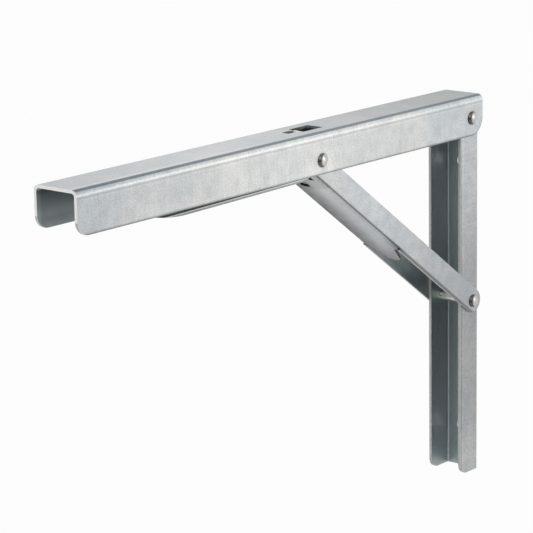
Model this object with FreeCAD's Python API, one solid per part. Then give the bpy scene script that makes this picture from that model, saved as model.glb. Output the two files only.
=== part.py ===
import FreeCAD, Part
import math
import os

# Folding shelf bracket. Sizes are in millimetres.
# The wall is the plane y = 0, the arm reaches toward -Y, and +Z is up.
# The origin is the middle between the two wall screw holes.

# Wall leg
leg_length = 200.0
leg_bottom = -95.0
leg_width = 20.6
leg_depth = 16.4
leg_sheet = 1.5
leg_bend = 2.5
leg_top_corner = 4.0
leg_foot_corner = 5.5
screw_spacing = 145.0
screw_hole = 5.5

# Shelf arm
arm_reach = 300.0
arm_height = 20.6
arm_sheet = 1.5
arm_bend = 3.0
arm_end_corner = 6.75

# Main hinge: the arm's rounded heel turns about it just clear of the wall
hinge_below_leg_top = 7.0
heel_radius = 9.3
wall_gap = 1.0

# Strut
strut_sheet = 1.2
strut_plate = 12.5
strut_bend = 2.2
strut_past_stop = 8.0
strut_tip_corner = 2.5
strut_web_start = 75.0
web_tongue_width = 16.8
web_tongue_point = 27.0
web_tongue_corner = 5.0
foot_from_wall = 6.8
foot_below_hinge = 98.6
lever_slot_start = 152.0
lever_slot_width = 15.2
relief_start = 143.0
relief_width = 6.0
relief_offset = 3.2
relief_corner = 1.5

# Notch at the top of the strut
notch_offset = 2.3
notch_tip_slant = 28.0
notch_foot_slant = 45.0
notch_cut = 9.0

# Stop rivet, seen from the hinge
stop_from_hinge = 122.4
stop_below_hinge = 2.4

# Rivets and spacers
shank_diameter = 4.5
head_diameter = 6.8
head_height = 1.9
head_rim = 0.3
spacer_diameter = 10.0

# Release lever
lever_sheet = 2.0
lever_width = 14.0
lever_drop = 10.1
lever_run = 90.3
lever_tilt = 0.7
lever_bend = 1.0
lever_curl = 90.0
lever_curl_angle = 27.0
nose_width = 4.0
nose_sink = 0.3
nose_slit = 0.3
eye_seam = 0.4

# Window in the arm's web
window_width = 9.6
window_length = 14.8
window_corner = 0.8
window_past_nose = 0.25
nose_side_gap = 0.2
nose_slot_length = 8.3

# Clearances
side_gap = 0.05
bore_gap = 0.05
seat_gap = 0.1
eye_gap = 0.08

# Sizes that follow from those above
half_leg = leg_width / 2
strut_inner = half_leg + side_gap
strut_outer = strut_inner + strut_sheet
arm_inner = strut_outer + side_gap
arm_outer = arm_inner + arm_sheet
shank = shank_diameter / 2
hinge_y = -wall_gap - heel_radius
hinge_z = leg_bottom + leg_length - hinge_below_leg_top
arm_top = hinge_z - heel_radius + arm_height
foot_y = -foot_from_wall
foot_z = hinge_z - foot_below_hinge
stop_y = hinge_y - stop_from_hinge
stop_z = hinge_z - stop_below_hinge
stop_distance = math.hypot(stop_y - foot_y, stop_z - foot_z)
stop_tilt = math.degrees(math.atan2(foot_y - stop_y, stop_z - foot_z))
strut_tilt = stop_tilt + math.degrees(math.asin(notch_offset / stop_distance))
notch_along = math.sqrt(stop_distance ** 2 - notch_offset ** 2)
strut_tip = notch_along + strut_past_stop
half_plate = strut_plate / 2
past = 5.0

vector = FreeCAD.Vector
along_x = vector(1, 0, 0)
along_y = vector(0, 1, 0)
along_z = vector(0, 0, 1)
origin = vector(0, 0, 0)


def in_section(x, y):
    return vector(x, y, 0)


def in_side(y, z):
    return vector(0, y, z)


def in_front(x, z):
    return vector(x, 0, z)


def rounded_wire(corners, place):
    """Closed outline. Each corner is two coordinates and a radius."""
    arcs = []
    for index, corner in enumerate(corners):
        before = corners[index - 1]
        after = corners[(index + 1) % len(corners)]
        here = vector(corner[0], corner[1], 0)
        back = vector(before[0], before[1], 0) - here
        ahead = vector(after[0], after[1], 0) - here
        back.normalize()
        ahead.normalize()
        radius = corner[2]
        if radius == 0:
            arcs.append((here, None, here))
            continue
        half = back.getAngle(ahead) / 2
        reach = radius / math.tan(half)
        middle = back + ahead
        middle.normalize()
        near = here + middle * (radius / math.sin(half) - radius)
        arcs.append((here + back * reach, near, here + ahead * reach))
    edges = []
    for index, arc in enumerate(arcs):
        start, near, end = [point and place(point.x, point.y) for point in arc]
        if near:
            edges.append(Part.Arc(start, near, end).toShape())
        following = arcs[(index + 1) % len(arcs)][0]
        following = place(following.x, following.y)
        if end.distanceToPoint(following) > 0.001:
            edges.append(Part.makeLine(end, following))
    return Part.Wire(edges)


def side_prism(corners, half_width):
    """Solid whose side view is the outline, as wide as given on both sides."""
    face = Part.Face(rounded_wire(corners, in_side))
    face.translate(along_x * -half_width)
    return face.extrude(along_x * (2 * half_width))


def upright_prism(corners, bottom, top):
    """Solid whose plan is the outline."""
    face = Part.Face(rounded_wire(corners, in_section))
    face.translate(along_z * bottom)
    return face.extrude(along_z * (top - bottom))


def channel(half_width, depth, sheet, bend, length):
    """Bent channel along +Z. Its web lies on y = 0 and its sides go to -Y."""
    inner = half_width - sheet
    section = [
        (-half_width, -depth, 0),
        (-half_width, 0, bend),
        (half_width, 0, bend),
        (half_width, -depth, 0),
        (inner, -depth, 0),
        (inner, -sheet, bend - sheet),
        (-inner, -sheet, bend - sheet),
        (-inner, -depth, 0),
    ]
    return upright_prism(section, 0, length)


def cross_bar(y, z, radius, half_width):
    """Round bar across the bracket."""
    start = vector(-half_width, y, z)
    return Part.makeCylinder(radius, 2 * half_width, start, along_x)


def wall_channel():
    body = channel(half_leg, leg_depth, leg_sheet, leg_bend, leg_length)
    body.translate(along_z * leg_bottom)
    leg_top = leg_bottom + leg_length
    outline = [
        (0, leg_bottom, 0),
        (0, leg_top, 0),
        (-leg_depth, leg_top, leg_top_corner),
        (-leg_depth, leg_bottom, leg_foot_corner),
    ]
    body = body.common(side_prism(outline, half_leg))
    for z in (-screw_spacing / 2, screw_spacing / 2):
        start = vector(0, -leg_sheet - past, z)
        length = leg_sheet + 2 * past
        body = body.cut(Part.makeCylinder(screw_hole / 2, length, start, along_y))
    for y, z in ((hinge_y, hinge_z), (foot_y, foot_z)):
        body = body.cut(cross_bar(y, z, shank, half_leg + past))
    return body


def web_window():
    """Window in the arm's web, with a narrow slot in front for the nose."""
    front = stop_y - eye_radius() + window_past_nose
    back = front + window_length
    half = window_width / 2
    narrow = nose_width / 2 + nose_side_gap
    wide = [
        (-half, back, window_corner),
        (half, back, window_corner),
        (half, front, window_corner),
        (-half, front, window_corner),
    ]
    slot = [
        (-narrow, front + window_corner, 0),
        (narrow, front + window_corner, 0),
        (narrow, front - nose_slot_length, window_corner),
        (-narrow, front - nose_slot_length, window_corner),
    ]
    low = arm_top - arm_sheet - past
    high = arm_top + past
    return upright_prism(wide, low, high).fuse(upright_prism(slot, low, high))


def shelf_channel():
    length = arm_reach - wall_gap
    body = channel(arm_outer, arm_height, arm_sheet, arm_bend, length)
    body.rotate(origin, along_x, 90)
    body.translate(vector(0, -wall_gap, arm_top))
    bottom = arm_top - arm_height
    outline = [
        (-wall_gap, arm_top, 0),
        (-wall_gap, bottom, heel_radius),
        (-arm_reach, bottom, arm_end_corner),
        (-arm_reach, arm_top, 0),
    ]
    body = body.common(side_prism(outline, arm_outer))
    body = body.cut(web_window())
    body = body.cut(cross_bar(hinge_y, hinge_z, shank + bore_gap, arm_outer + past))
    return body.cut(cross_bar(stop_y, stop_z, shank, arm_outer + past))


def notch():
    """Open notch in the strut's sides, in the strut's own side view."""
    seat = shank + seat_gap
    tip_slant = math.radians(notch_tip_slant)
    foot_slant = math.radians(notch_foot_slant)
    tip_y = notch_offset + seat * math.sin(tip_slant)
    tip_z = notch_along + seat * math.cos(tip_slant)
    foot_side_y = notch_offset - seat * math.sin(foot_slant)
    foot_side_z = notch_along - seat * math.cos(foot_slant)
    tip_out_y = tip_y + notch_cut * math.cos(tip_slant)
    tip_out_z = tip_z - notch_cut * math.sin(tip_slant)
    foot_out_y = foot_side_y + notch_cut * math.cos(foot_slant)
    foot_out_z = foot_side_z - notch_cut * math.sin(foot_slant)
    mouth = [
        (tip_y, tip_z, 0),
        (tip_out_y, tip_out_z, 0),
        (foot_out_y, foot_out_z, 0),
        (foot_side_y, foot_side_z, 0),
    ]
    wide = strut_outer + past
    return side_prism(mouth, wide).fuse(cross_bar(notch_offset, notch_along, seat, wide))


def lever_slot():
    """Open slot in the strut's web for the lever, with a relief at one corner of its floor."""
    half = lever_slot_width / 2
    relief_left = -relief_offset - relief_width / 2
    relief_right = relief_left + relief_width
    high = strut_tip + past
    slot = [
        (-half, lever_slot_start, 0),
        (-half, high, 0),
        (half, high, 0),
        (half, lever_slot_start, 0),
    ]
    relief = [
        (relief_left, relief_start, relief_corner),
        (relief_left, high, 0),
        (relief_right, high, 0),
        (relief_right, relief_start, relief_corner),
    ]
    tool = None
    for outline in (slot, relief):
        face = Part.Face(rounded_wire(outline, in_front))
        face.translate(along_y * -(half_plate + past))
        prism = face.extrude(along_y * (half_plate + past))
        tool = tool.fuse(prism) if tool else prism
    return tool


def web_tongue():
    """Rounded point in which the strut's web ends, narrow enough to fold in between the leg's sides."""
    root = web_tongue_width / 2
    outline = [
        (-root, strut_web_start + past, 0),
        (root, strut_web_start + past, 0),
        (root, strut_web_start, 0),
        (0, strut_web_start - web_tongue_point, web_tongue_corner),
        (-root, strut_web_start, 0),
    ]
    face = Part.Face(rounded_wire(outline, in_front))
    face.translate(along_y * -half_plate)
    return face.extrude(along_y * strut_sheet)


def strut():
    body = channel(strut_outer, strut_plate, strut_sheet, strut_bend, strut_tip - strut_web_start)
    body.rotate(origin, along_z, 180)
    body.translate(vector(0, -half_plate, strut_web_start))
    for x in (-strut_outer, strut_inner):
        corner = vector(x, -half_plate, -half_plate)
        plate = Part.makeBox(strut_sheet, strut_plate, strut_web_start + half_plate, corner)
        body = body.fuse(plate)
    body = body.fuse(web_tongue())
    outline = [
        (-half_plate, -half_plate, half_plate),
        (half_plate, -half_plate, half_plate),
        (half_plate, strut_tip, strut_tip_corner),
        (-half_plate, strut_tip, strut_tip_corner),
    ]
    body = body.common(side_prism(outline, strut_outer))
    body = body.cut(lever_slot())
    body = body.cut(notch())
    body = body.cut(cross_bar(0, 0, shank + bore_gap, strut_outer + past))
    body = body.removeSplitter()
    body.rotate(origin, along_x, strut_tilt)
    body.translate(vector(0, foot_y, foot_z))
    return body


def rivet(y, z, grip):
    """Rivet across the bracket with a domed head on each side."""
    body = cross_bar(y, z, shank, grip)
    radius = head_diameter / 2
    rise = head_height - head_rim
    ball = (radius ** 2 + rise ** 2) / (2 * rise)
    for side in (-1, 1):
        seat = vector(side * grip, y, z)
        head = Part.makeCylinder(radius, head_height, seat, along_x * side)
        middle = vector(side * (grip + head_height - ball), y, z)
        body = body.fuse(head.common(Part.makeSphere(ball, middle)))
    return body.removeSplitter()


def spacer(side):
    """Ring on the hinge rivet between leg and arm."""
    start = vector(side * half_leg, hinge_y, hinge_z)
    thick = strut_outer - half_leg
    ring = Part.makeCylinder(spacer_diameter / 2, thick, start, along_x * side)
    return ring.cut(cross_bar(hinge_y, hinge_z, shank, strut_outer))


def eye_radius():
    return shank + eye_gap + lever_sheet


def arc(place, radius, start, end):
    """Arc whose points come from a place function of radius and angle."""
    return Part.Arc(place(radius, start), place(radius, (start + end) / 2), place(radius, end)).toShape()


def lever_strip():
    """Riser, straight run and curled end, as one bent strip."""
    front = stop_y - eye_radius()
    back = front + lever_sheet
    low = stop_z - lever_drop
    high = low + lever_sheet
    outer_bend = lever_bend + lever_sheet
    inner_curl = lever_curl - lever_sheet
    curl_y = stop_y - lever_run
    curl_z = low + lever_curl
    turn = math.radians(lever_curl_angle)
    quarter = math.radians(90)

    def on_curl(radius, angle):
        return vector(0, curl_y - radius * math.sin(angle), curl_z - radius * math.cos(angle))

    def on_bend(radius, angle):
        y = front - lever_bend + radius * math.cos(angle)
        z = high + lever_bend - radius * math.sin(angle)
        return vector(0, y, z)

    edges = [
        Part.makeLine(in_side(front, stop_z), on_bend(lever_bend, 0)),
        arc(on_bend, lever_bend, 0, quarter),
        Part.makeLine(on_bend(lever_bend, quarter), on_curl(inner_curl, 0)),
        arc(on_curl, inner_curl, 0, turn),
        Part.makeLine(on_curl(inner_curl, turn), on_curl(lever_curl, turn)),
        arc(on_curl, lever_curl, turn, 0),
        Part.makeLine(on_curl(lever_curl, 0), on_bend(outer_bend, quarter)),
        arc(on_bend, outer_bend, quarter, 0),
        Part.makeLine(on_bend(outer_bend, 0), in_side(back, stop_z)),
        Part.makeLine(in_side(back, stop_z), in_side(front, stop_z)),
    ]
    face = Part.Face(Part.Wire(edges))
    face.translate(along_x * (-lever_width / 2))
    return face.extrude(along_x * lever_width)


def release_lever():
    """Strip with both edges of its riser rolled into an eye and the middle standing up as a nose."""
    half = lever_width / 2
    reach = eye_radius()
    front = stop_y - reach
    back = front + lever_sheet
    middle = nose_width / 2 + nose_slit
    slit_corner = vector(-middle, stop_y - 2 * reach, stop_z - 2 * reach)
    slit = Part.makeBox(2 * middle, 4 * reach, 4 * reach, slit_corner)
    eye = cross_bar(stop_y, stop_z, reach, half).cut(slit)
    nose_height = arm_top - nose_sink - stop_z
    nose = Part.makeBox(nose_width, lever_sheet, nose_height, vector(-nose_width / 2, front, stop_z))
    seam_height = reach + past
    seam_corner = vector(-half - past, back, stop_z - seam_height)
    seam = Part.makeBox(2 * (half + past), eye_seam, seam_height, seam_corner)
    body = lever_strip().fuse(eye).fuse(nose)
    body = body.cut(seam)
    body = body.cut(cross_bar(stop_y, stop_z, shank + eye_gap, half + past))
    body = body.removeSplitter()
    body.rotate(vector(0, stop_y, stop_z), along_x, lever_tilt)
    return body


pieces = {
    "wall_channel": wall_channel(),
    "shelf_channel": shelf_channel(),
    "strut": strut(),
    "hinge_rivet": rivet(hinge_y, hinge_z, arm_outer + side_gap),
    "foot_rivet": rivet(foot_y, foot_z, strut_outer + side_gap),
    "stop_rivet": rivet(stop_y, stop_z, arm_outer),
    "spacer_near": spacer(1),
    "spacer_far": spacer(-1),
    "release_lever": release_lever(),
}

os.makedirs("parts", exist_ok=True)
for name, shape in pieces.items():
    shape.exportStep("parts/" + name + ".step")
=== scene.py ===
import math
import bpy
from mathutils import Matrix, Vector

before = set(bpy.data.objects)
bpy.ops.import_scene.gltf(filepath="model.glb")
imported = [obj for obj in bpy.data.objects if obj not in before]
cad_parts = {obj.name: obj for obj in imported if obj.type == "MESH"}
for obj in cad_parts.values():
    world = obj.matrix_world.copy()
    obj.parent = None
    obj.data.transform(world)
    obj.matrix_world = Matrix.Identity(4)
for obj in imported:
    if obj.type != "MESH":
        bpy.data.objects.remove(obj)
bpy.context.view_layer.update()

# Camera: place in metres, angles in radians, lens and sensor in millimetres
CAMERA_PLACE = Vector((0.7506, -1.0334, 0.3271))
CAMERA_AZIMUTH = 0.71008
CAMERA_ELEVATION = 0.2390
CAMERA_ROLL = -0.018184
CAMERA_LENS = 166.5
CAMERA_SENSOR = 36.0

# Rivet axes in metres: Y and Z in the side view
HINGE = (-0.0103, 0.0980)
STOP = (-0.1327, 0.0956)
FOOT = (-0.0068, -0.0006)

# Arm: half width, top, lower edge, bend, sheet and free end
ARM_HALF = 0.0131
ARM_TOP = 0.1093
ARM_LOW = 0.0887
ARM_BEND = 0.0030
ARM_SHEET = 0.0015
ARM_END = -0.3000

# Leg: half width, front edge and sheet
LEG_HALF = 0.0103
LEG_FRONT = -0.0164
LEG_SHEET = 0.0015

# Strut: tilt, half width, half plate, bend and sheet
STRUT_TILT = math.radians(53.45)
STRUT_HALF = 0.01155
STRUT_PLATE = 0.00625
STRUT_BEND = 0.0022
STRUT_SHEET = 0.0012

# Lever: half width, drop below the stop rivet and tilt
LEVER_HALF = 0.0070
LEVER_DROP = 0.0101
LEVER_TILT = math.radians(0.7)

# Colours, linear
ZINC_LIGHT = (0.595, 0.605, 0.605)
ZINC_COOL = (0.520, 0.548, 0.565)
# Darker colour of the hollow insides: painted shade
INSIDE_PAINTED_SHADE = (0.245, 0.272, 0.280)
ZINC_EDGE = (0.60, 0.60, 0.59)
# Cut face at the arm's free end, rougher and painted near white: a painted highlight
ZINC_END = (0.95, 0.95, 0.94)
# Near-white top of the lever's nose: a painted highlight
NOSE_PAINTED_HIGHLIGHT = (0.90, 0.90, 0.89)
RIVET_LIGHT = (0.60, 0.59, 0.57)
RIVET_COOL = (0.45, 0.45, 0.44)
RIVET_SHANK = (0.95, 0.93, 0.88)
WARM = (1.03, 1.005, 0.97)
# Bluish tint of the painted dark reflection along the arm's bend
CREASE_REFLECTION_TINT = (0.86, 1.0, 1.08)
WHITE = (1.0, 1.0, 1.0)
FLOOR_PALE = (0.9, 0.9, 0.9)
CARD_DARK = (0.03, 0.03, 0.03)

# Roughness of the plating, its spread, and what cut edges, insides and shanks add
ZINC_ROUGH = 0.36
RIVET_ROUGH = 0.22
ROUGH_SPREAD = (-0.05, 0.07)
CUT_ROUGHER = 0.40
INSIDE_ROUGHER = 0.10
SHANK_ROUGHER = 0.15
FLOOR_ROUGH = 0.9
CARD_ROUGH = 1.0

# Noises of the plating: scale, detail and roughness
CLOUD = (32.0, 4.0, 0.6)
PATCH = (170.0, 4.0, 0.6)
MARKS = (1.0, 2.0, 0.6)
GRAIN = (1300.0, 2.0, 0.6)

# Spans of a noise that are used, and how far each noise lightens or darkens
CLOUD_SPAN = (0.36, 0.64)
NOISE_SPAN = (0.3, 0.7)
PATCH_DEPTH = 0.06
MARKS_DEPTH = 0.03
GRAIN_DEPTH = 0.11
GRAIN_HEIGHT = 0.5
BUMP_STRENGTH = 0.12
BUMP_DISTANCE = 0.0003

# Below, a fade is from, to, factor before and factor after. A strip is from, to and soft edge.
# A step is limit and soft edge, and a ring round a rivet is radius and soft edge.
# Places are in metres, or in radians round a bend.

# A step at a face: how far from the face it lies, and its soft edge
SKIN = 0.000045
THIN = 0.000025

# The middle plane, between the near and the far side
MIDDLE = (0.0, 0.001)

# Arm: where the top turns into the side, painted light and shade on the top and the side, both along Y,
# and the side's warmer stretch
ARM_TURN = (-0.1, 0.5, 1.0, 0.0)
ARM_TOP_FADES = ((-0.20, 0.0, 0.97, 0.60), (-0.30, -0.20, 0.88, 1.0))
ARM_SIDE_FADES = ((-0.30, -0.15, 0.88, 1.17), (-0.13, 0.0, 1.0, 0.86))
ARM_WARM = (-0.235, -0.055, 0.025)

# Arm's bend: a painted highlight band on the top, a painted dark bluish reflection along the crease, and
# painted highlight and shade lines on the side by their depth below the top
ARM_BAND = (-0.70, -0.15, 0.10)
ARM_BAND_FADE = (-0.30, -0.12, 1.22, 1.0)
ARM_CREASE = (0.04, 0.74, 0.10)
ARM_CREASE_REFLECTION_DARK = 0.38
ARM_BRIGHT_LINE = (0.0021, 0.0030, 0.0003)
ARM_FINE_LINE = (0.0034, 0.0040, 0.0002)
ARM_PALE_LINE = (0.0044, 0.0050, 0.0002)
ARM_LINES = ((ARM_BRIGHT_LINE, 1.15), (ARM_FINE_LINE, 0.86), (ARM_PALE_LINE, 1.06))

# Arm's lower edge and its edges in front of the hinge and round the heel, darkened as painted shade, and
# painted contact shadow in rings round its rivets
ARM_OUTER = (ARM_HALF - 0.0001, 0.00005)
ARM_LOW_EDGE = (ARM_LOW + 0.0009, 0.0004)
ARM_LOW_DARK = 0.70
ARM_FOOT_EDGE = (ARM_LOW + 0.0004, 0.0002)
ARM_HEEL = (0.0089, 0.0002)
HINGE_FRONT = (HINGE[0] + 0.0001, 0.0001)
HINGE_BELOW = (HINGE[1] + 0.0001, 0.0001)
ARM_EDGE_SHADE_DARK = 0.55
ARM_SEAT = (0.0039, 0.0005)
ARM_SEAT_DARK = 0.72

# Arm's inside: painted light on the far wall and at the mouth, painted shade on the lower and upper part
# and on what the window shows
ARM_FAR_WALL = (-0.0109, 0.0005)
ARM_FAR_LIGHT = 1.25
ARM_MOUTH = (-0.2975, 0.001)
ARM_MOUTH_LIGHT = 1.35
ARM_INSIDE_LOW = (0.0945, 0.002)
ARM_INSIDE_LOW_DARK = 0.80
ARM_INSIDE_TOP = (0.1045, 0.001)
ARM_INSIDE_TOP_DARK = 0.75
ARM_WINDOW = (-0.16, -0.10, 0.002)
ARM_WINDOW_ABOVE = (0.098, 0.001)
ARM_WINDOW_DARK = 0.35

# Leg: painted light and shade along Z, painted contact shadow in rings round its rivets, painted dark
# and light lines behind its front edge, and painted light and shade on its inside along X and Z
LEG_FADES = ((0.0, 0.085, 0.65, 0.98), (-0.095, -0.05, 1.18, 0.95))
LEG_SEAT = (0.0042, 0.0008)
LEG_SEAT_DARK = 0.8
LEG_DARK_LINE = (-0.0159, -0.0151, 0.0002)
LEG_PALE_LINE = (-0.0149, -0.0138, 0.0002)
LEG_LINES = ((LEG_DARK_LINE, 0.74), (LEG_PALE_LINE, 1.08))
LEG_INSIDE_ACROSS = (-0.004, 0.0085, 1.72, 2.25)
LEG_INSIDE_FADES = ((-0.02, 0.04, 0.8, 1.0), (-0.09, 0.0, 1.22, 1.0))

# Strut: where the web turns into the near and the far plate, and painted light and shade on the plates
# along the strut
STRUT_NEAR_TURN = (1.1, 1.5)
STRUT_FAR_TURN = (1.48, 1.62)
STRUT_PLATE_FADE = (0.0, 0.11, 0.74, 1.0)

# Strut's web: painted shade across it, its slanting end darkened as painted shade, its bend as a painted
# dark line, and the arm's slanting shadow painted at the top
STRUT_WEB_ACROSS = (-0.0095, 0.0075, 0.20, 0.84)
STRUT_END_SLANT = -1.48
STRUT_END_FADE = (0.054, 0.080, 0.42, 1.0)
STRUT_BEND_STRIP = (0.85, 1.25, 0.15)
STRUT_BEND_START = (0.073, 0.003)
STRUT_BEND_DARK = 0.45
STRUT_SHADOW_SLANT = -0.17
STRUT_SHADOW = (0.14185, 0.00035)
STRUT_SHADOW_DARK = 0.82

# Strut's open end: where it starts, what lies beside the web's point, painted light on the inside and
# the far plate, and the cut edges
STRUT_OPEN = (0.0735, 0.0005)
STRUT_BESIDE_POINT = (0.0095, 0.0003)
STRUT_INSIDE_LIGHT = 1.35
STRUT_FAR_PLATE = (-0.0100, 0.0002)
STRUT_FAR_START = (0.073, 0.002)
STRUT_FAR_EDGE = (0.0025, 0.0055)
STRUT_FAR_FADE = (0.025, 0.050, 0.95, 1.5)
STRUT_CUT_START = (0.0745, 0.0005)

# Lever: painted shade along Y, and by height over its lower face a painted highlight on the edge and a
# painted shadow line above it
LEVER_FADE = (-0.24, -0.14, 0.42, 0.62)
LEVER_FLANK = (LEVER_HALF - 0.000075, THIN)
LEVER_EDGE = (0.0009, 0.0013, 0.0001)
LEVER_EDGE_LIGHT = 1.9
LEVER_SHADOW_FROM = (0.0014, 0.0001)
LEVER_SHADOW_TO = (0.0035, 0.0005)
LEVER_SHADOW_DARK = 0.2
LEVER_NOSE = (0.1045, 0.0005)

# Rivets: where the shank ends, and the crown beside each axis that stays bright; outside the crown and
# the shank the colour is darkened as painted shade, which leaves a dark crescent on the −Y side of each
# head
SHANK_END = (0.0101, 0.0001)
CROWN = (0.0029, 0.0004)
CROWN_OFFSET = 0.0008
RIM_PAINTED_SHADE = 0.20

# Sockets of the colour Mix node
MIX_FIRST = 6
MIX_SECOND = 7
MIX_RESULT = 2

# How fast the rolling marks change along X, Y and Z
ARM_STREAK = (60.0, 1100.0, 60.0)
LEG_STREAK = (60.0, 60.0, 1100.0)
STRUT_STREAK = (400.0, 200.0, 200.0)
LEVER_STREAK = (500.0, 60.0, 60.0)
RIVET_STREAK = (700.0, 700.0, 700.0)

# Floor, cards, sky and lamps. Lengths in metres, turns in degrees, power in watts.
# A card is name, place, turn and width. A lamp is name, place, width, height and power.
FLOOR_HEIGHT = -0.42
FLOOR_SIZE = 30.0
FLOOR_SHOWN = 0.94
CARD_HEIGHT = 0.5
CARD_FRONT = ("card_front", (0.0, -1.6, -0.17), 0.0, 3.4)
CARD_SIDE = ("card_side", (1.7, -0.95, -0.17), 90.0, 1.3)
SKY_LIGHT = 0.62
SKY_SHOWN = 1.0
LAMP_TARGET = (0.0, -0.15, 0.03)
LAMP_KEY = ("key", (1.5, -1.2, 1.4), 1.2, 1.2, 8.0)
LAMP_SIDE = ("side", (2.0, 0.9, 0.5), 1.4, 1.4, 6.0)
LAMP_OVER = ("over", (0.2, -0.1, 2.0), 1.6, 1.2, 5.0)


class Board:
    """Small helper that adds shader nodes to one tree."""

    def __init__(self, tree):
        self.tree = tree

    def add(self, kind, inputs=None, **settings):
        item = self.tree.nodes.new(kind)
        for key, value in settings.items():
            setattr(item, key, value)
        for key, value in (inputs or {}).items():
            self.plug(item.inputs[key], value)
        return item

    def plug(self, socket, value):
        if isinstance(value, bpy.types.NodeSocket):
            self.tree.links.new(value, socket)
        else:
            socket.default_value = value

    def calc(self, operation, first, second=0.0, third=0.0):
        item = self.add("ShaderNodeMath", operation=operation)
        self.plug(item.inputs[0], first)
        self.plug(item.inputs[1], second)
        self.plug(item.inputs[2], third)
        return item.outputs[0]

    def product(self, *values):
        total = values[0]
        for value in values[1:]:
            total = self.calc("MULTIPLY", total, value)
        return total

    def scaled(self, vector, scale):
        item = self.add("ShaderNodeVectorMath", operation="MULTIPLY")
        self.plug(item.inputs[0], vector)
        self.plug(item.inputs[1], scale)
        return item.outputs[0]

    def noise(self, vector, scale, detail, rough):
        item = self.add("ShaderNodeTexNoise")
        self.plug(item.inputs["Vector"], vector)
        self.plug(item.inputs["Scale"], scale)
        self.plug(item.inputs["Detail"], detail)
        self.plug(item.inputs["Roughness"], rough)
        return item.outputs["Fac"]

    def fade(self, value, low, high, start=0.0, end=1.0):
        item = self.add("ShaderNodeMapRange", interpolation_type="SMOOTHSTEP")
        self.plug(item.inputs["Value"], value)
        self.plug(item.inputs["From Min"], low)
        self.plug(item.inputs["From Max"], high)
        self.plug(item.inputs["To Min"], start)
        self.plug(item.inputs["To Max"], end)
        return item.outputs["Result"]

    def fades(self, value, several):
        """Several fades of one value, multiplied."""
        return self.product(*[self.fade(value, *each) for each in several])

    def over(self, value, limit, soft):
        """1 above the limit and 0 below it."""
        return self.fade(value, limit - soft, limit + soft)

    def under(self, value, limit, soft):
        """1 below the limit and 0 above it."""
        return self.fade(value, limit - soft, limit + soft, 1.0, 0.0)

    def within(self, value, low, high, soft):
        """1 between the two limits and 0 outside."""
        return self.calc("MULTIPLY", self.over(value, low, soft), self.under(value, high, soft))

    def inverse(self, mask):
        return self.calc("SUBTRACT", 1.0, mask)

    def blend(self, factor, first, second, mode="MIX"):
        item = self.add("ShaderNodeMix", data_type="RGBA", blend_type=mode)
        self.plug(item.inputs[0], factor)
        self.plug(item.inputs[MIX_FIRST], first)
        self.plug(item.inputs[MIX_SECOND], second)
        return item.outputs[MIX_RESULT]

    def tinted(self, colour, factor):
        """The colour times one number."""
        grey = self.add("ShaderNodeCombineColor", {"Red": factor, "Green": factor, "Blue": factor})
        return self.blend(1.0, colour, grey.outputs["Color"], "MULTIPLY")

    def parts(self, vector):
        item = self.add("ShaderNodeSeparateXYZ", {"Vector": vector})
        return item.outputs["X"], item.outputs["Y"], item.outputs["Z"]

    def bend_angle(self, across, lift, bend_across, bend_lift):
        """The angle round a bend: 0 at its start on the upper face, a right angle at its end."""
        side = self.calc("SUBTRACT", across, bend_across)
        return self.calc("ARCTAN2", side, self.calc("SUBTRACT", lift, bend_lift))

    def shown(self):
        """1 where the camera, glossy metal or glass looks on."""
        path = self.add("ShaderNodeLightPath").outputs
        direct = self.calc("MAXIMUM", path["Is Camera Ray"], path["Is Glossy Ray"])
        return self.calc("MAXIMUM", direct, path["Is Transmission Ray"])

    def ring(self, y, z, centre, radius, soft):
        """1 within the radius of an axis that runs across the bracket, and 0 outside."""
        flat = self.calc("POWER", self.calc("SUBTRACT", y, centre[0]), 2.0)
        tall = self.calc("POWER", self.calc("SUBTRACT", z, centre[1]), 2.0)
        away = self.calc("SQRT", self.calc("ADD", flat, tall))
        return self.under(away, radius, soft)


def rgba(colour):
    return (colour[0], colour[1], colour[2], 1.0)


class Look:
    """What a piece's own zones change: colour and roughness."""

    def __init__(self, board, colour, gloss):
        self.board = board
        self.colour = colour
        self.gloss = gloss

    def shade(self, factor):
        self.colour = self.board.tinted(self.colour, factor)

    def spot(self, mask, factor):
        """Times the factor where the mask is 1."""
        lift = self.board.product(mask, self.board.calc("SUBTRACT", factor, 1.0))
        self.shade(self.board.calc("ADD", lift, 1.0))

    def tint(self, mask, colour):
        """Times the colour where the mask is 1."""
        self.colour = self.board.blend(mask, self.colour, rgba(colour), "MULTIPLY")

    def cover(self, mask, colour, rougher):
        """The new colour where the mask is 1, and rougher by that much."""
        self.colour = self.board.blend(mask, self.colour, rgba(colour))
        self.gloss = self.board.calc("ADD", self.gloss, self.board.product(mask, rougher))


def principled(name):
    material = bpy.data.materials.new(name)
    material.use_nodes = True
    return material, material.node_tree.nodes["Principled BSDF"]


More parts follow.
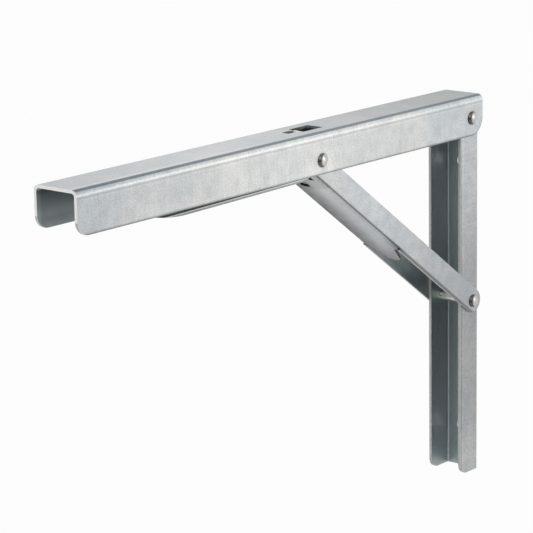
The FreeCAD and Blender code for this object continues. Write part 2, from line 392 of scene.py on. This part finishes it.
def steel(name, light, cool, rough, streak, zones):
    """Zinc plated steel, with the zones of one piece."""
    material, shader = principled(name)
    board = Board(material.node_tree)
    point = board.add("ShaderNodeTexCoord").outputs["Object"]
    cloud = board.noise(point, *CLOUD)
    patch = board.noise(point, *PATCH)
    marks = board.noise(board.scaled(point, streak), *MARKS)
    grain = board.noise(point, *GRAIN)
    factor = 1.0
    for noise, depth in ((patch, PATCH_DEPTH), (marks, MARKS_DEPTH), (grain, GRAIN_DEPTH)):
        factor = board.calc("ADD", factor, board.fade(noise, *NOISE_SPAN, -depth, depth))
    colour = board.blend(board.fade(cloud, *CLOUD_SPAN), rgba(light), rgba(cool))
    gloss = board.fade(patch, *NOISE_SPAN, rough + ROUGH_SPREAD[0], rough + ROUGH_SPREAD[1])
    look = Look(board, board.tinted(colour, factor), gloss)
    zones(board, board.parts(point), look)
    board.plug(shader.inputs["Base Color"], look.colour)
    board.plug(shader.inputs["Roughness"], look.gloss)
    board.plug(shader.inputs["Metallic"], 1.0)
    height = board.calc("ADD", board.product(grain, GRAIN_HEIGHT), marks)
    settings = {"Height": height, "Strength": BUMP_STRENGTH, "Distance": BUMP_DISTANCE}
    bump = board.add("ShaderNodeBump", settings)
    board.plug(shader.inputs["Normal"], bump.outputs["Normal"])
    return material


def arm_zones(board, point, look):
    x, y, z = point
    across = board.calc("ABSOLUTE", x)
    turn = board.bend_angle(across, z, ARM_HALF - ARM_BEND, ARM_TOP - ARM_BEND)
    depth = board.calc("SUBTRACT", ARM_TOP, z)

    # Top and side along the arm, with painted light and shade along Y
    top = board.fade(turn, *ARM_TURN)
    side = board.inverse(top)
    look.spot(top, board.fades(y, ARM_TOP_FADES))
    look.spot(side, board.fades(y, ARM_SIDE_FADES))
    look.tint(board.product(side, board.within(y, *ARM_WARM)), WARM)

    # The bend: a painted highlight band on the top's near side, a painted dark bluish reflection along
    # the crease, and painted highlight and shade lines on the side
    band = board.product(board.within(turn, *ARM_BAND), board.over(x, *MIDDLE))
    look.spot(band, board.fade(y, *ARM_BAND_FADE))
    crease = board.within(turn, *ARM_CREASE)
    look.spot(crease, ARM_CREASE_REFLECTION_DARK)
    look.tint(crease, CREASE_REFLECTION_TINT)
    for strip, factor in ARM_LINES:
        look.spot(board.within(depth, *strip), factor)

    # Painted shade along the lower edge, in front of the hinge and round the heel, and painted contact
    # shadow in rings round the rivets
    low_edge = board.product(board.over(across, *ARM_OUTER), board.under(z, *ARM_LOW_EDGE))
    look.spot(low_edge, ARM_LOW_DARK)
    front = board.under(y, *HINGE_FRONT)
    foot_edge_shade = board.product(front, board.under(z, *ARM_FOOT_EDGE))
    past_heel = board.inverse(board.ring(y, z, HINGE, *ARM_HEEL))
    heel_edge_shade = board.product(past_heel, board.inverse(front), board.under(z, *HINGE_BELOW))
    look.spot(board.calc("MAXIMUM", foot_edge_shade, heel_edge_shade), ARM_EDGE_SHADE_DARK)
    for centre in (HINGE, STOP):
        look.spot(board.ring(y, z, centre, *ARM_SEAT), ARM_SEAT_DARK)

    # Inside, in painted shade and painted light, and the cut at the free end, rougher and painted near
    # white as a painted highlight
    hollow = board.under(across, ARM_HALF - ARM_SHEET + SKIN, THIN)
    inside = board.product(hollow, board.under(z, ARM_TOP - ARM_SHEET + SKIN, THIN))
    look.cover(inside, INSIDE_PAINTED_SHADE, INSIDE_ROUGHER)
    look.spot(board.product(inside, board.under(x, *ARM_FAR_WALL)), ARM_FAR_LIGHT)
    look.spot(board.product(inside, board.under(y, *ARM_MOUTH)), ARM_MOUTH_LIGHT)
    look.spot(board.product(inside, board.under(z, *ARM_INSIDE_LOW)), ARM_INSIDE_LOW_DARK)
    look.spot(board.product(inside, board.over(z, *ARM_INSIDE_TOP)), ARM_INSIDE_TOP_DARK)
    window = board.product(board.within(y, *ARM_WINDOW), board.over(z, *ARM_WINDOW_ABOVE))
    look.spot(board.product(inside, window), ARM_WINDOW_DARK)
    look.cover(board.under(y, ARM_END + SKIN, THIN), ZINC_END, CUT_ROUGHER)


def leg_zones(board, point, look):
    x, y, z = point
    # Painted light and shade along Z, painted contact shadow round the rivets, and painted lines behind
    # the front edge
    look.shade(board.fades(z, LEG_FADES))
    for centre in (HINGE, FOOT):
        look.spot(board.ring(y, z, centre, *LEG_SEAT), LEG_SEAT_DARK)
    for strip, factor in LEG_LINES:
        look.spot(board.within(y, *strip), factor)
    # The inside: painted shade, with painted light and shade across it and along Z
    hollow = board.under(board.calc("ABSOLUTE", x), LEG_HALF - LEG_SHEET + SKIN, THIN)
    inside = board.product(hollow, board.under(y, -LEG_SHEET + SKIN, THIN))
    look.cover(inside, INSIDE_PAINTED_SHADE, INSIDE_ROUGHER)
    look.spot(inside, board.fade(x, *LEG_INSIDE_ACROSS))
    for fade in LEG_INSIDE_FADES:
        look.spot(inside, board.fade(z, *fade))
    look.cover(board.under(y, LEG_FRONT + SKIN, THIN), ZINC_EDGE, CUT_ROUGHER)


def strut_zones(board, point, look):
    x, y, z = point
    across = board.calc("ABSOLUTE", x)

    # Along runs up the strut from the foot rivet, outward runs from the open side to the web
    foot_y = board.calc("SUBTRACT", y, FOOT[0])
    foot_z = board.calc("SUBTRACT", z, FOOT[1])
    sine = math.sin(STRUT_TILT)
    cosine = math.cos(STRUT_TILT)
    along = board.calc("SUBTRACT", board.product(foot_z, cosine), board.product(foot_y, sine))
    outward = board.calc("ADD", board.product(foot_y, -cosine), board.product(foot_z, -sine))
    turn = board.bend_angle(across, outward, STRUT_HALF - STRUT_BEND, STRUT_PLATE - STRUT_BEND)

    # Plates and web, with painted light and shade
    near = board.over(x, *MIDDLE)
    near_flank = board.product(near, board.fade(turn, *STRUT_NEAR_TURN))
    far_flank = board.product(board.inverse(near), board.fade(turn, *STRUT_FAR_TURN))
    flank = board.calc("ADD", near_flank, far_flank)
    web = board.inverse(flank)
    look.spot(flank, board.fade(along, *STRUT_PLATE_FADE))
    look.spot(web, board.fade(x, *STRUT_WEB_ACROSS))
    end = board.calc("MULTIPLY_ADD", x, STRUT_END_SLANT, along)
    look.spot(web, board.fade(end, *STRUT_END_FADE))
    bend = board.product(board.within(turn, *STRUT_BEND_STRIP), board.over(along, *STRUT_BEND_START))
    look.spot(bend, STRUT_BEND_DARK)
    shadow = board.calc("MULTIPLY_ADD", x, STRUT_SHADOW_SLANT, along)
    look.spot(board.product(web, board.over(shadow, *STRUT_SHADOW)), STRUT_SHADOW_DARK)

    # Inside, which shows past the web's end, in painted shade lightened by painted light, and the cut
    # edges there
    plates = board.under(across, STRUT_HALF - STRUT_SHEET + SKIN, THIN)
    behind_web = board.under(outward, STRUT_PLATE - STRUT_SHEET - SKIN, THIN)
    past_web = board.product(board.under(along, *STRUT_OPEN), board.over(across, *STRUT_BESIDE_POINT))
    inside = board.product(plates, board.calc("MAXIMUM", behind_web, past_web))
    look.cover(inside, INSIDE_PAINTED_SHADE, INSIDE_ROUGHER)
    look.spot(inside, STRUT_INSIDE_LIGHT)
    far_plate = board.product(board.under(x, *STRUT_FAR_PLATE), board.under(along, *STRUT_FAR_START))
    far_edge = board.product(far_plate, board.fade(outward, *STRUT_FAR_EDGE))
    look.spot(far_edge, board.fade(along, *STRUT_FAR_FADE))
    edge = board.product(board.inverse(plates), board.over(outward, STRUT_PLATE - SKIN, THIN))
    look.cover(board.product(edge, board.under(along, *STRUT_CUT_START)), ZINC_EDGE, CUT_ROUGHER)


def lever_zones(board, point, look):
    x, y, z = point
    # Painted shade along Y, a painted highlight along the flank's edge, and a painted shadow line under
    # the arm
    look.shade(board.fade(y, *LEVER_FADE))
    from_stop = board.calc("SUBTRACT", y, STOP[0])
    lower_face = board.calc("MULTIPLY_ADD", from_stop, math.tan(LEVER_TILT), STOP[1] - LEVER_DROP)
    height = board.calc("SUBTRACT", z, lower_face)
    flank = board.over(board.calc("ABSOLUTE", x), *LEVER_FLANK)
    look.spot(board.product(flank, board.within(height, *LEVER_EDGE)), LEVER_EDGE_LIGHT)
    shadow_band = board.product(board.over(height, *LEVER_SHADOW_FROM), board.under(height, *LEVER_SHADOW_TO))
    look.spot(board.product(flank, shadow_band), LEVER_SHADOW_DARK)
    # The nose's top painted near white: a painted highlight
    look.cover(board.over(z, *LEVER_NOSE), NOSE_PAINTED_HIGHLIGHT, 0.0)


def rivet_zones(board, point, look):
    x, y, z = point
    shank = board.under(board.calc("ABSOLUTE", x), *SHANK_END)
    look.cover(shank, RIVET_SHANK, SHANK_ROUGHER)
    crown = 0.0
    for centre in (HINGE, STOP, FOOT):
        beside = (centre[0] + CROWN_OFFSET, centre[1])
        crown = board.calc("MAXIMUM", crown, board.ring(y, z, beside, *CROWN))
    # Painted shade outside the crowns: a dark crescent on each head
    look.spot(board.product(board.inverse(crown), board.inverse(shank)), RIM_PAINTED_SHADE)


def paint(node, material):
    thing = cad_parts[node]
    thing.data.materials.clear()
    thing.data.materials.append(material)


def zinc(name, streak, zones):
    return steel(name, ZINC_LIGHT, ZINC_COOL, ZINC_ROUGH, streak, zones)


paint("shelf_channel", zinc("arm_zinc", ARM_STREAK, arm_zones))
paint("wall_channel", zinc("leg_zinc", LEG_STREAK, leg_zones))
paint("strut", zinc("strut_zinc", STRUT_STREAK, strut_zones))
paint("release_lever", zinc("lever_zinc", LEVER_STREAK, lever_zones))
rivet_zinc = steel("rivet_zinc", RIVET_LIGHT, RIVET_COOL, RIVET_ROUGH, RIVET_STREAK, rivet_zones)
for node in ("hinge_rivet", "foot_rivet", "stop_rivet", "spacer_near", "spacer_far"):
    paint(node, rivet_zinc)


def floor_surface():
    """Pale matt floor. The camera and the metal see it nearly white, with some of the shadow kept."""
    material, shader = principled("floor_white")
    tree = material.node_tree
    board = Board(tree)
    shader.inputs["Base Color"].default_value = rgba(FLOOR_PALE)
    shader.inputs["Roughness"].default_value = FLOOR_ROUGH
    glow = board.add("ShaderNodeEmission", {"Color": rgba(WHITE), "Strength": 1.0})
    mix = board.add("ShaderNodeMixShader", {0: board.product(board.shown(), FLOOR_SHOWN)})
    tree.links.new(shader.outputs[0], mix.inputs[1])
    tree.links.new(glow.outputs[0], mix.inputs[2])
    tree.links.new(mix.outputs[0], tree.nodes["Material Output"].inputs["Surface"])
    return material


bpy.ops.mesh.primitive_plane_add(size=FLOOR_SIZE, location=(0, 0, FLOOR_HEIGHT))
floor = bpy.context.object
floor.name = "floor"
floor.data.materials.append(floor_surface())

# Low dark cards in front of the bracket, as in a photographer's studio. The camera doesn't see them.
card_material, card_shader = principled("card_dark")
card_shader.inputs["Base Color"].default_value = rgba(CARD_DARK)
card_shader.inputs["Roughness"].default_value = CARD_ROUGH
for card_name, card_place, card_turn, card_width in (CARD_FRONT, CARD_SIDE):
    bpy.ops.mesh.primitive_plane_add(size=1.0, location=card_place)
    card = bpy.context.object
    card.name = card_name
    card.scale = (card_width, CARD_HEIGHT, 1.0)
    card.rotation_euler = (math.radians(90), 0.0, math.radians(card_turn))
    card.data.materials.append(card_material)
    card.visible_camera = False

world = bpy.data.worlds.new("studio")
bpy.context.scene.world = world
world.use_nodes = True
sky_board = Board(world.node_tree)
sky = world.node_tree.nodes["Background"]
sky.inputs["Color"].default_value = rgba(WHITE)
sky_board.plug(sky.inputs["Strength"], sky_board.fade(sky_board.shown(), 0.0, 1.0, SKY_LIGHT, SKY_SHOWN))


def add_lamp(name, place, width, height, power):
    light = bpy.data.lights.new(name, "AREA")
    light.shape = "RECTANGLE"
    light.size = width
    light.size_y = height
    light.energy = power
    lamp = bpy.data.objects.new(name, light)
    bpy.context.scene.collection.objects.link(lamp)
    lamp.location = place
    aim = Vector(LAMP_TARGET) - Vector(place)
    lamp.rotation_euler = aim.to_track_quat("-Z", "Y").to_euler()


for each_lamp in (LAMP_KEY, LAMP_SIDE, LAMP_OVER):
    add_lamp(*each_lamp)


def aim_camera():
    right = Vector((math.cos(CAMERA_AZIMUTH), math.sin(CAMERA_AZIMUTH), 0.0))
    flat = math.cos(CAMERA_ELEVATION)
    ahead = Vector((math.sin(CAMERA_AZIMUTH), -math.cos(CAMERA_AZIMUTH), 0.0))
    back = ahead * flat + Vector((0.0, 0.0, math.sin(CAMERA_ELEVATION)))
    up = back.cross(right)
    turned_right = right * math.cos(CAMERA_ROLL) + up * math.sin(CAMERA_ROLL)
    turned_up = up * math.cos(CAMERA_ROLL) - right * math.sin(CAMERA_ROLL)
    axes = Matrix((turned_right, turned_up, back)).transposed()
    return Matrix.Translation(CAMERA_PLACE) @ axes.to_4x4()


lens = bpy.data.cameras.new("camera")
lens.sensor_width = CAMERA_SENSOR
lens.lens = CAMERA_LENS
camera = bpy.data.objects.new("camera", lens)
bpy.context.scene.collection.objects.link(camera)
camera.matrix_world = aim_camera()
bpy.context.scene.camera = camera
bpy.context.scene.view_settings.view_transform = "Standard"
